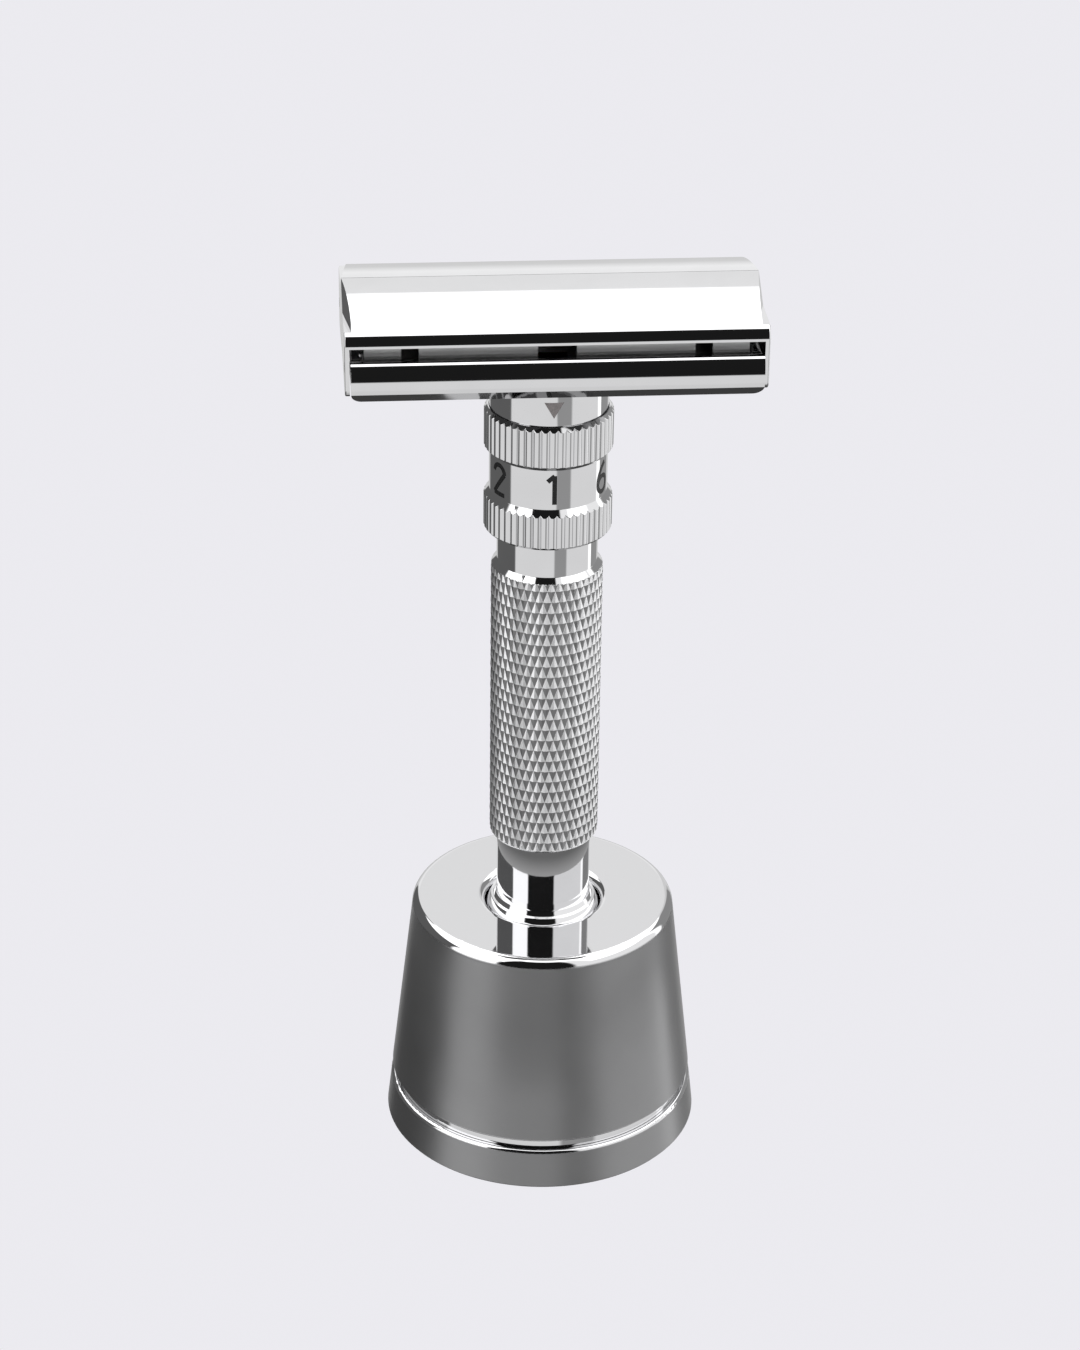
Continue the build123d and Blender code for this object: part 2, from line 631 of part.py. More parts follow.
def door_front():
    """Front door: arched lid with a rolled long edge and an end plate at each end."""
    inner = DOME_RADIUS - DOOR_SKIN
    shell = milled(door_section(), DOOR_HALF_LENGTH)
    ends = shell.faces().filter_by(Axis.X)
    outer_edges = ends.edges().filter_by(lambda edge: edge.center().Y < -DOOR_EDGE_Y + 0.6)
    front_edges = outer_edges.filter_by(lambda edge: edge.center().Z > DOOR_PLATE_LOW + 0.7)
    shell = fillet(front_edges, DOOR_END_ROUND)
    lip = DOOR_LIP - DOOR_EDGE_Y
    beyond = -DOOR_EDGE_Y - 3
    past_seam = 1.0
    below = DOOR_PLATE_LOW - 4
    void = milled(outline(
        (past_seam, dome_height(past_seam, inner)),
        (0, dome_height(0, inner), -past_seam, dome_height(past_seam, inner)),
        (lip / 2, dome_height(lip / 2, inner), lip + 0.1, dome_height(lip + 0.1, inner)),
        (lip, DOOR_EDGE_HEIGHT),
        (beyond, DOOR_EDGE_HEIGHT),
        (beyond, below),
        (past_seam, below),
    ), DOOR_END_INNER)
    door = shell - void
    hole = Pos(0, -HINGE_Y, HINGE_HEIGHT) * Rot(0, 90, 0) * Cylinder(
        PIN_RADIUS + RUNNING_GAP, 3 * DOOR_HALF_LENGTH)
    return door - hole - door_facets()


def door_facets():
    """Slanted cuts at both ends of the front door's lid, which stop at its rolled edge."""
    bead_top = BEAD_CENTRE_HEIGHT + BEAD_RADIUS
    seam_end = Vector(DOOR_HALF_LENGTH, 0, SEAM_HEIGHT)
    lid_corner = Vector(DOOR_HALF_LENGTH - FACET_WIDTH, -9.1, bead_top)
    plate_point = Vector(DOOR_HALF_LENGTH, -DOOR_EDGE_Y, BEAD_CENTRE_HEIGHT - 2.28)
    outward = (lid_corner - seam_end).cross(plate_point - seam_end)
    long = 4 * DOOR_HALF_LENGTH
    slab = Box(long, long, 10, align=(Align.CENTER, Align.CENTER, Align.MIN))
    beyond = Plane(origin=seam_end, z_dir=outward) * slab
    cut = beyond & block((0, long), (-2 * DOOR_EDGE_Y, 1), (bead_top - 0.1, SEAM_HEIGHT + 1))
    return cut + mirror(cut, about=Plane.YZ)


def build():
    numerals = dial_numerals()
    mark = index_mark()
    front = door_front()
    parts = {
        "stand_body": stand_body(),
        "stand_foot": stand_foot(),
        "stand_pad": stand_pad(),
        "knob": knob(),
        "knob_ring": knob_ring(),
        "knob_washer": knob_washer(),
        "drive_screw": drive_screw(),
        "handle_grip": handle_grip(),
        "handle_bush": handle_bush(),
        "core_tube": core_tube(),
        "dial_ring": dial_ring(),
        "click_spring": click_spring(),
        "dial_collar": dial_collar(numerals),
        "dial_numerals": numerals,
        "guard_tray": guard_tray(),
        "index_barrel": index_barrel(mark),
        "index_mark": mark,
        "guard_sleeve": guard_sleeve(),
        "guard_spring": guard_spring(),
        "blade_bed": blade_bed(),
        "push_rod": push_rod(),
        "door_carrier": door_carrier(),
        "carrier_rivet": carrier_rivet(),
        "hinge_pins": hinge_pins(),
        "door_front": front,
        "door_back": mirror(front, about=Plane.XZ),
    }
    for name, shape in parts.items():
        save(name, shape)


build()
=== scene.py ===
import json
from math import ceil, cos, hypot, pi, radians, sin

import bpy
from mathutils import Matrix, Vector

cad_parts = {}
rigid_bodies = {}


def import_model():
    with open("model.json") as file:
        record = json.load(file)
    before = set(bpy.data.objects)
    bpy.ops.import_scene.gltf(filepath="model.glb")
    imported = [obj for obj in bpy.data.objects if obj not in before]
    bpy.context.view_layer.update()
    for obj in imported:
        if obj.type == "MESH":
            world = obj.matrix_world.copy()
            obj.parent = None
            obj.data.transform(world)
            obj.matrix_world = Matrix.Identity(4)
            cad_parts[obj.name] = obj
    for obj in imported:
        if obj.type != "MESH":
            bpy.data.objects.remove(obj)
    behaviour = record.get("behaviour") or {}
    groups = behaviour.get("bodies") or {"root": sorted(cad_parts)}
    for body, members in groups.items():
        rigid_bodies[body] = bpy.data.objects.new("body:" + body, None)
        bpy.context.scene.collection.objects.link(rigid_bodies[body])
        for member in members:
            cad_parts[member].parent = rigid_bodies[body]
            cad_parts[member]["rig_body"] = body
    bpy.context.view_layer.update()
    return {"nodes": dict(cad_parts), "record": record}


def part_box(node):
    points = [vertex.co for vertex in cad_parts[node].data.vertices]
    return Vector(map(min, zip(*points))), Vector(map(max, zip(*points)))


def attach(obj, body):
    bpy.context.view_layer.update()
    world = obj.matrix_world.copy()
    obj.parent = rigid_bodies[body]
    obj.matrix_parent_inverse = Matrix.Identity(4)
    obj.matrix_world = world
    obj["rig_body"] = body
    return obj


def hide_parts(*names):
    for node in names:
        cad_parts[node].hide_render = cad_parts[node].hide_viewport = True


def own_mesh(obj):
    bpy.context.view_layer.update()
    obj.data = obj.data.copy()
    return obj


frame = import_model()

# Adjustable safety razor in its stand. Lengths named *_MM are millimetres; everything handed to
# Blender is metres, in the frame's own axes: +Z up the razor, the head along X, the front at -Y.

MM = 0.001


def bottom_of(node):
    """A CAD node's lowest height, in millimetres."""
    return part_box(node)[0].z / MM


def top_of(node):
    """A CAD node's greatest height, in millimetres."""
    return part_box(node)[1].z / MM


def radius_of(node):
    """A turned CAD node's largest radius, in millimetres."""
    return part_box(node)[1].x / MM


# ------------------------------------------------------------------ node trees


class NodeTree:
    """A node tree, with short calls for the nodes used here."""

    def __init__(self, tree):
        self.nodes = tree.nodes
        self.links = tree.links

    def feed(self, socket, value):
        """Gives a socket a node's output, a number, a colour or a grey."""
        if isinstance(value, bpy.types.NodeSocket):
            self.links.new(value, socket)
        elif socket.type == "RGBA":
            socket.default_value = (*(value if isinstance(value, tuple) else (value,) * 3), 1)
        else:
            socket.default_value = value

    def node(self, kind, *values):
        """A new node, with its first sockets fed."""
        made = self.nodes.new(kind)
        for socket, value in zip(made.inputs, values):
            self.feed(socket, value)
        return made

    def math(self, operation, *values):
        made = self.node("ShaderNodeMath", *values)
        made.operation = operation
        return made.outputs[0]

    def mix(self, factor, low, high):
        """low where the factor is 0, high where it is 1."""
        made = self.nodes.new("ShaderNodeMix")
        made.data_type = "RGBA"
        self.feed(made.inputs["Factor"], factor)
        colours = [socket for socket in made.inputs if socket.type == "RGBA"]
        for socket, value in zip(colours, (low, high)):
            self.feed(socket, value)
        return next(socket for socket in made.outputs if socket.type == "RGBA")

    def ramp(self, source, stops):
        """A colour ramp with (position, grey or colour) stops."""
        made = self.node("ShaderNodeValToRGB", source)
        elements = made.color_ramp.elements
        while len(elements) > 1:
            elements.remove(elements[-1])
        for index, (position, value) in enumerate(stops):
            element = elements.new(position) if index else elements[0]
            element.position = position
            element.color = (*(value if isinstance(value, tuple) else (value,) * 3), 1)
        return made.outputs["Color"]

    def remap(self, source, low, high, to_low=0.0, to_high=1.0):
        return self.node("ShaderNodeMapRange", source, low, high, to_low, to_high).outputs[0]

    def eased(self, source, low, high):
        """0 below low, 1 above high, and eased between them."""
        made = self.node("ShaderNodeMapRange", source, low, high)
        made.interpolation_type = "SMOOTHSTEP"
        return made.outputs[0]

    def split(self, vector):
        """The x, y and z of a vector."""
        return self.node("ShaderNodeSeparateXYZ", vector).outputs


class Shader(NodeTree):
    """A material's node tree, with its object's coordinates and normals."""

    def __init__(self, name):
        self.material = bpy.data.materials.new(name)
        self.material.use_nodes = True
        super().__init__(self.material.node_tree)
        texture_space = self.nodes.new("ShaderNodeTexCoord")
        self.coords = texture_space.outputs["Object"]
        self.normals = texture_space.outputs["Normal"]

    def surface(self, **values):
        """Feeds the Principled shader; a socket's name has _ for each space. Returns the material."""
        for name, value in values.items():
            self.feed(self.nodes["Principled BSDF"].inputs[name.replace("_", " ")], value)
        return self.material

    def stretched(self, scale):
        """Object coordinates scaled per axis, for grain that runs one way."""
        mapping = self.node("ShaderNodeMapping", self.coords)
        mapping.inputs["Scale"].default_value = scale
        return mapping.outputs["Vector"]

    def noise(self, scale, detail=3.0, coords=None, distortion=0.0):
        made = self.node("ShaderNodeTexNoise", coords or self.coords)
        made.inputs["Scale"].default_value = scale
        made.inputs["Detail"].default_value = detail
        made.inputs["Distortion"].default_value = distortion
        return made.outputs["Fac"]

    def bump(self, height, strength, distance):
        made = self.nodes.new("ShaderNodeBump")
        made.inputs["Strength"].default_value = strength
        made.inputs["Distance"].default_value = distance
        self.feed(made.inputs["Height"], height)
        return made.outputs["Normal"]

    def radius(self):
        """Distance from the object's Z axis."""
        x, y, _ = self.split(self.coords)
        return self.math("SQRT", self.math("ADD", self.math("MULTIPLY", x, x), self.math("MULTIPLY", y, y)))

    def between(self, low, high):
        """1 where the object's height lies between two levels, else 0."""
        height = self.split(self.coords)[2]
        above = self.math("GREATER_THAN", height, low)
        return self.math("MULTIPLY", above, self.math("LESS_THAN", height, high))


def shade(colour, factor):
    return tuple(channel * factor for channel in colour)


# ------------------------------------------------------------------ materials

CHAMFER_RISE_MM = 0.3
CHAMFER_SETBACK_MM = 0.25
GRIP_BOTTOM_MM = bottom_of("handle_grip")
GRIP_TOP_MM = 70.35

# Chrome: limits of a normal's z between which a face goes from its painted shade to its own colour.
# Undersides get painted shade; on the knurl, faces that look down get painted shade and the rest a painted
# highlight.
UNDERSIDE_LEAN = (-0.66, -0.45)
UNDERSIDE_SHADE = 0.30
KNURL_LEAN = (-0.06, -0.02)
KNURL_LIGHT = 1.22
KNURL_SHADE = 0.42
KNURL_ROUGHNESS = 0.36


def chrome(name, tint, roughness, smudge, ripple):
    """Chrome plate: clear reflections, faint smudges, a trace of orange peel, and painted shade on its
    undersides.

    The knurl is more matt; its faces that look down get painted shade, and its other faces a painted
    highlight.
    """
    s = Shader(name)
    film = s.noise(180.0, detail=4.0, distortion=0.4)
    tone = s.ramp(film, [(0.30, shade(tint, 0.965)), (0.65, tint)])
    lean = s.split(s.normals)[2]
    # Painted shade: faces whose normal dips down get a darker base colour.
    plate = s.mix(s.remap(lean, *UNDERSIDE_LEAN), shade(tint, UNDERSIDE_SHADE), tone)
    knurled = s.between((GRIP_BOTTOM_MM + CHAMFER_RISE_MM) * MM, GRIP_TOP_MM * MM)
    # Painted shade on the knurl's faces that look down; the next line gives the rest of the knurl a painted
    # highlight.
    knurl_shade_mask = s.math("MULTIPLY", knurled, s.remap(lean, *KNURL_LEAN, 1.0, 0.0))
    lit_knurl_colour = s.mix(knurled, plate, shade(tint, KNURL_LIGHT))
    gloss = s.remap(film, 0.35, 0.75, roughness, roughness + smudge)
    return s.surface(
        Metallic=1.0,
        Base_Color=s.mix(knurl_shade_mask, lit_knurl_colour, shade(tint, KNURL_SHADE)),
        Roughness=s.math("ADD", gloss, s.math("MULTIPLY", knurled, KNURL_ROUGHNESS)),
        Normal=s.bump(s.noise(900.0, detail=1.0), ripple, 2e-6),
    )


# Stand: metres over which the blasting, with its painted shade, starts outside the bore's rim, and away
# from the groove.
BLAST_AND_SHADE_START = (0.0120, 0.0124)
GROOVE_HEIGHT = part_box("stand_foot")[1].z + 0.00055
GROOVE_EDGE = (0.0007, 0.0009)
WALL_LEAN = (0.16, 0.34)
SATIN_ROUGHNESS = 0.30


def stand_chrome(name, polish, shaded_satin):
    """Chrome whose steep outer sides are rough, as from bead blasting, and darker in colour by painted
    shade; the top, rim, bore and groove stay bright.
    """
    s = Shader(name)
    height = s.split(s.coords)[2]
    steep = s.remap(s.math("ABSOLUTE", s.split(s.normals)[2]), *WALL_LEAN, 1.0, 0.0)
    outside = s.remap(s.radius(), *BLAST_AND_SHADE_START)
    off_groove = s.remap(s.math("ABSOLUTE", s.math("SUBTRACT", height, GROOVE_HEIGHT)), *GROOVE_EDGE)
    blasted_and_shaded = s.math("MULTIPLY", steep, s.math("MULTIPLY", outside, off_groove))
    grain = s.noise(3500.0, detail=2.0)
    cloud = s.noise(160.0, detail=3.0)
    # Painted shade: the rough sides get a darker base colour than the polished parts, standing in for the
    # dim surroundings they reflect; their roughness and grain are real.
    shaded_satin_tone = s.ramp(cloud, [(0.3, shade(shaded_satin, 0.94)), (0.7, shaded_satin)])
    gloss = s.remap(cloud, 0.35, 0.75, 0.03, 0.06)
    return s.surface(
        Metallic=1.0,
        Base_Color=s.mix(blasted_and_shaded, polish, shaded_satin_tone),
        Roughness=s.math("ADD", s.math("MULTIPLY", blasted_and_shaded, SATIN_ROUGHNESS), gloss),
        Normal=s.bump(s.math("MULTIPLY", grain, blasted_and_shaded), 0.35, 6e-6),
    )


def turned_metal(name, tint, roughness, pitch):
    """Turned metal inside the mechanism: fine rings left by the lathe tool."""
    s = Shader(name)
    rings = s.noise(pitch, detail=2.0, coords=s.stretched((0.05, 0.05, 1.0)))
    return s.surface(
        Metallic=1.0,
        Base_Color=s.ramp(rings, [(0.3, shade(tint, 0.85)), (0.7, tint)]),
        Roughness=s.remap(rings, 0.3, 0.7, roughness, roughness + 0.12),
        Normal=s.bump(rings, 0.35, 1e-5),
    )


def enamel(name, colour):
    """Enamel in an engraved figure: slightly uneven, with a soft gloss."""
    s = Shader(name)
    mottle = s.noise(2500.0)
    return s.surface(
        Base_Color=s.ramp(mottle, [(0.3, shade(colour, 0.8)), (0.7, colour)]),
        Roughness=s.remap(mottle, 0.3, 0.7, 0.35, 0.5),
        Normal=s.bump(mottle, 0.2, 5e-6),
    )


def rubber(name):
    """Matt pad with a fine pebble."""
    s = Shader(name)
    pebble = s.noise(1500.0, detail=2.0)
    return s.surface(
        Base_Color=s.ramp(pebble, [(0.3, 0.012), (0.7, 0.03)]),
        Roughness=s.remap(pebble, 0.3, 0.7, 0.7, 0.9),
        Normal=s.bump(pebble, 0.6, 3e-5),
    )


MATERIALS = {
    "chrome_polished": chrome(
        "chrome_polished", (0.80, 0.80, 0.81), roughness=0.03, smudge=0.03, ripple=0.05),
    # The darker of the two colours is painted shade on the stand's rough sides.
    "chrome_stand": stand_chrome(
        "chrome_stand", polish=(0.76, 0.76, 0.77), shaded_satin=(0.34, 0.34, 0.345)),
    "chrome_bed": chrome(
        "chrome_bed", (0.62, 0.62, 0.62), roughness=0.30, smudge=0.10, ripple=0.6),
    "steel_turned": turned_metal(
        "steel_turned", (0.56, 0.56, 0.57), roughness=0.25, pitch=4000.0),
    "brass_turned": turned_metal(
        "brass_turned", (0.72, 0.52, 0.25), roughness=0.28, pitch=4000.0),
    "spring_steel": turned_metal(
        "spring_steel", (0.32, 0.32, 0.34), roughness=0.30, pitch=5000.0),
    "enamel_black": enamel("enamel_black", (0.012, 0.012, 0.013)),
    "enamel_grey": enamel("enamel_grey", (0.46, 0.42, 0.42)),
    "pad_rubber": rubber("pad_rubber"),
}
SLOT_OF_NODE = {row["node"]: row["material_slot"] for row in frame["record"]["subparts"]}


def paint(obj, slot):
    """Gives an object the material of one of the record's slots."""
    obj.data.materials.clear()
    obj.data.materials.append(MATERIALS[slot])


for node_name, node_object in frame["nodes"].items():
    paint(node_object, SLOT_OF_NODE[node_name])

# ------------------------------------------------------------------ lathe work

ARC_STEPS_PER_TURN = 40
SHARP_ANGLE = 30.0
UNCUT_MM = 99.0


def rounded(corners):
    """Rounds the corners of a closed (r, z, fillet) outline given anticlockwise.

    Returns (r, z, normal_r, normal_z) rows. A corner on the axis stays a bare point.
    """
    rows = []
    count = len(corners)
    for index, (r, z, fillet) in enumerate(corners):
        here = Vector((r, z))
        before = Vector(corners[index - 1][:2]) - here
        after = Vector(corners[(index + 1) % count][:2]) - here
        if r == 0:
            side = after if before.x == 0 else -before
            normal = Vector((side.y, -side.x)).normalized()
            rows.append((0.0, z, normal.x, normal.y))
            continue
        before.normalize()
        after.normalize()
        turn = before.angle(-after)
        setback = fillet * abs((1 - cos(turn)) / sin(turn))
        start_normal = Vector((-before.y, before.x))
        end_normal = Vector((after.y, -after.x))
        bend = -before.x * after.y + before.y * after.x
        sense = 1.0 if bend > 0 else -1.0
        start = here + before * setback
        centre = start - start_normal * fillet * sense
        steps = max(2, ceil(turn / (2 * pi) * ARC_STEPS_PER_TURN))
        for step in range(steps + 1):
            normal = start_normal.slerp(end_normal, step / steps)
            point = centre + normal * fillet * sense
            rows.append((point.x, point.y, normal.x, normal.y))
    return rows


def with_rows(rows, low, high, parts):
    """Adds rows where the outer wall rises between two heights.

    parts(row, following) gives the fractions of the way from one row to the next where rows go.
    """
    result = []
    for row, following in zip(rows, rows[1:] + rows[:1]):
        result.append(row)
        rises = following[1] > row[1] and row[2] > 0
        inside = min(row[1], following[1]) >= low - 1e-6 and max(row[1], following[1]) <= high + 1e-6
        if rises and inside:
            for t in parts(row, following):
                result.append(tuple(a + (b - a) * t for a, b in zip(row, following)))
    return result


def dense(rows, low, high, pitch):
    """Adds rows at an even pitch."""
    def parts(row, following):
        steps = max(1, round(hypot(following[1] - row[1], following[0] - row[0]) / pitch))
        return [step / steps for step in range(1, steps)]

    return with_rows(rows, low, high, parts)


def levels(rows, low, high, base, pitch):
    """Adds rows at whole pitches above base, so that a knurl's corners fall on them."""
    def parts(row, following):
        first = ceil((row[1] - base) / pitch + 0.1)
        last = ceil((following[1] - base) / pitch - 0.1)
        return [(base + step * pitch - row[1]) / (following[1] - row[1]) for step in range(first, last)]

    return with_rows(rows, low, high, parts)


def finished_mesh(name, vertices, faces, normals=None, sharp=SHARP_ANGLE):
    """Smooth-shaded object; edges over the sharp angle stay crisp, and given normals are kept."""
    mesh = bpy.data.meshes.new(name)
    mesh.from_pydata(vertices, [], faces)
    mesh.update()
    mesh.polygons.foreach_set("use_smooth", [True] * len(mesh.polygons))
    mesh.set_sharp_from_angle(angle=radians(sharp))
    if normals:
        mesh.normals_split_custom_set([normals[loop.vertex_index] for loop in mesh.loops])
    obj = bpy.data.objects.new(name, mesh)
    bpy.context.scene.collection.objects.link(obj)
    return obj


def lathe(name, rows, segments, limit=None, sharp=SHARP_ANGLE, facet=None):
    """Closed turned mesh. limit(angle, z) is the largest radius allowed there, for knurls and flutes.

    facet(index, z) chooses the diagonal that a face folds along; without it faces stay whole.
    """
    vertices, normals, rings = [], [], []
    for r, z, normal_r, normal_z in rows:
        if r == 0:
            rings.append([len(vertices)] * segments)
            vertices.append((0, 0, z * MM))
            normals.append((0, 0, normal_z))
            continue
        ring = []
        for index in range(segments):
            angle = 2 * pi * index / segments - pi / 2
            cut = limit(angle, z) if limit else UNCUT_MM
            ring.append(len(vertices))
            vertices.append((min(r, cut) * cos(angle) * MM, min(r, cut) * sin(angle) * MM, z * MM))
            whole = cut > r + 1e-6
            normals.append((normal_r * cos(angle), normal_r * sin(angle), normal_z) if whole else (0, 0, 0))
        rings.append(ring)
    faces = []
    for row, low, high in zip(rows, rings, rings[1:] + rings[:1]):
        for index in range(segments):
            following = (index + 1) % segments
            face = list(dict.fromkeys([low[index], low[following], high[following], high[index]]))
            if len(face) == 4 and facet:
                a, b, c, d = face
                faces.extend([(a, b, d), (b, c, d)] if facet(index, row[1]) else [(a, b, c), (a, c, d)])
            elif len(face) > 2:
                faces.append(face)
    return finished_mesh(name, vertices, faces, normals, sharp)


def place(obj, node):
    """Makes a piece stand for a CAD node and ride on its body."""
    paint(obj, SLOT_OF_NODE[node])
    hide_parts(node)
    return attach(obj, frame["nodes"][node]["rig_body"])


# Grip: a lathe form whose middle is cut by two families of helical grooves.
GRIP_RADIUS_MM = radius_of("handle_grip")
NECK_RADIUS_MM = 5.47
NECK_BOTTOM_MM = 71.0
NECK_TOP_MM = 74.8
SPIGOT_TOP_MM = top_of("handle_grip")
SPIGOT_RADIUS_MM = 4.9
GRIP_BORE_MM = 4.6
GRIP_BORE_TOP_MM = 60.0
CORE_RADIUS_MM = 4.0
KNURL_COLUMNS = 44
KNURL_PERIOD_MM = 2.6
KNURL_DEPTH_MM = 0.13
KNURL_STEPS = 8
KNURL_SHARP_ANGLE = 4.0


def triangle_wave(t):
    """0 at whole numbers and 1 half way between them."""
    return 1 - abs(2 * (t % 1.0) - 1)


def knurl_limit(angle, z):
    """Radius of the knurled surface: pyramids between crossing grooves."""
    if z < GRIP_BOTTOM_MM or z > NECK_BOTTOM_MM:
        return UNCUT_MM
    column = angle / (2 * pi) * KNURL_COLUMNS
    row = (z - GRIP_BOTTOM_MM) / KNURL_PERIOD_MM
    height = min(triangle_wave(column + row), triangle_wave(column - row))
    return GRIP_RADIUS_MM - KNURL_DEPTH_MM * (1 - height)


def knurl_diagonal(index, z):
    """Which way a face of the knurl folds, so that both families of grooves fall on its edges."""
    step = round((z - GRIP_BOTTOM_MM) / KNURL_PERIOD_MM * KNURL_STEPS)
    return (index + step + 1) % KNURL_STEPS == 0


def build_grip():
    knurl_bottom = GRIP_BOTTOM_MM + CHAMFER_RISE_MM
    rows = rounded([
        (GRIP_BORE_MM, GRIP_BOTTOM_MM, 0.05),
        (GRIP_RADIUS_MM - CHAMFER_SETBACK_MM, GRIP_BOTTOM_MM, 0.05),
        (GRIP_RADIUS_MM, knurl_bottom, 0.05),
        (GRIP_RADIUS_MM, GRIP_TOP_MM, 0.04),
        (NECK_RADIUS_MM, NECK_BOTTOM_MM, 0.05),
        (NECK_RADIUS_MM, NECK_TOP_MM, 0.06),
        (SPIGOT_RADIUS_MM, NECK_TOP_MM, 0.05),
        (SPIGOT_RADIUS_MM, SPIGOT_TOP_MM, 0.05),
        (CORE_RADIUS_MM, SPIGOT_TOP_MM, 0.05),
        (CORE_RADIUS_MM, GRIP_BORE_TOP_MM, 0.05),
        (GRIP_BORE_MM, GRIP_BORE_TOP_MM, 0.05),
    ])
    rows = levels(rows, knurl_bottom, GRIP_TOP_MM, GRIP_BOTTOM_MM, KNURL_PERIOD_MM / KNURL_STEPS)
    rows = dense(rows, GRIP_TOP_MM - 0.05, NECK_BOTTOM_MM, 0.08)
    rows = dense(rows, GRIP_BOTTOM_MM, knurl_bottom + 0.05, 0.08)
    segments = KNURL_COLUMNS * KNURL_STEPS
    grip = lathe("knurled_grip", rows, segments, knurl_limit, KNURL_SHARP_ANGLE, knurl_diagonal)
    place(grip, "handle_grip")


build_grip()

# Coin-edge rings: straight flutes, each a rounded ridge between two sharp valleys.
FLUTES = 48
FLUTE_DEPTH_MM = 0.2
FLUTE_STEPS = 12
RIDGE_POWER = 0.8


def coin_edge(angle, radius):
    ridge = abs(cos(angle * FLUTES / 2))
    return radius - FLUTE_DEPTH_MM * (1 - ridge ** RIDGE_POWER)


DIAL_LOW_MM = bottom_of("dial_collar")
DIAL_TOP_MM = top_of("dial_collar")
LOWER_RING_MM = radius_of("dial_collar")
LOWER_RING_TOP_MM = 78.65
INLAY_PROUD_MM = 0.02
BAND_RADIUS_MM = radius_of("index_barrel") - INLAY_PROUD_MM
BAND_BOTTOM_MM = 79.4
BAND_TOP_MM = 83.95
UPPER_RING_MM = 6.92
UPPER_RING_LOW_MM = 84.5
UPPER_RING_TOP_MM = 88.45
DIAL_RIM_MM = BAND_RADIUS_MM + 0.2
DIAL_RECESS_MM = 87.2
SLEEVE_BORE_MM = 5.25
RUNNING_GAP_MM = 0.05
RECESS_RADIUS_MM = BAND_RADIUS_MM + INLAY_PROUD_MM + RUNNING_GAP_MM


def dial_limit(angle, z):
    on_lower_ring = z < (BAND_BOTTOM_MM + BAND_TOP_MM) / 2
    return coin_edge(angle, LOWER_RING_MM if on_lower_ring else UPPER_RING_MM)


def build_dial():
    spigot_bore = SPIGOT_RADIUS_MM + RUNNING_GAP_MM
    chamfer_top = DIAL_LOW_MM + CHAMFER_RISE_MM
    rows = rounded([
        (spigot_bore, DIAL_LOW_MM, 0.04),
        (LOWER_RING_MM - CHAMFER_SETBACK_MM, DIAL_LOW_MM, 0.04),
        (LOWER_RING_MM, chamfer_top, 0.04),
        (LOWER_RING_MM, LOWER_RING_TOP_MM, 0.03),
        (BAND_RADIUS_MM, BAND_BOTTOM_MM, 0.05),
        (BAND_RADIUS_MM, BAND_TOP_MM, 0.05),
        (UPPER_RING_MM, UPPER_RING_LOW_MM, 0.03),
        (UPPER_RING_MM, UPPER_RING_TOP_MM, 0.03),
        (DIAL_RIM_MM, DIAL_TOP_MM, 0.04),
        (RECESS_RADIUS_MM, DIAL_TOP_MM, 0.02),
        (RECESS_RADIUS_MM, DIAL_RECESS_MM, 0.04),
        (SLEEVE_BORE_MM, DIAL_RECESS_MM, 0.04),
        (SLEEVE_BORE_MM, SPIGOT_TOP_MM, 0.04),
        (spigot_bore, SPIGOT_TOP_MM, 0.04),
    ])
    slopes = (
        (DIAL_LOW_MM, chamfer_top + 0.05),
        (LOWER_RING_TOP_MM - 0.05, BAND_BOTTOM_MM),
        (BAND_TOP_MM, UPPER_RING_LOW_MM + 0.05),
        (UPPER_RING_TOP_MM - 0.05, DIAL_TOP_MM),
    )
    for low, high in slopes:
        rows = dense(rows, low, high, 0.05)
    place(lathe("coin_edge_dial", rows, FLUTES * FLUTE_STEPS, dial_limit), "dial_collar")


build_dial()

# Knob: a smooth drum with a shallow groove under its shoulder, then its rim, cove, neck and stem.
KNOB_LOW_MM = bottom_of("knob")
KNOB_TOP_MM = top_of("knob")
KNOB_RADIUS_MM = radius_of("knob")
KNOB_GROOVE_MM = KNOB_RADIUS_MM - 0.25
KNOB_SHOULDER_MM = 27.4
KNOB_RIM_MM = 5.9
KNOB_RIM_TOP_MM = 28.45
KNOB_NECK_MM = 5.25
KNOB_NECK_TOP_MM = GRIP_BOTTOM_MM - RUNNING_GAP_MM
KNOB_DRUM_TOP_MM = KNOB_SHOULDER_MM - 1.9
KNOB_SEGMENTS = 480
STEM_RADIUS_MM = 3.0
STEM_SLOT_MM = 2.6
STEM_SLOT_LOW_MM = 44.08
STEM_SLOT_TOP_MM = 44.62
SCREW_RADIUS_MM = 1.6
SCREW_LOW_MM = 22.0


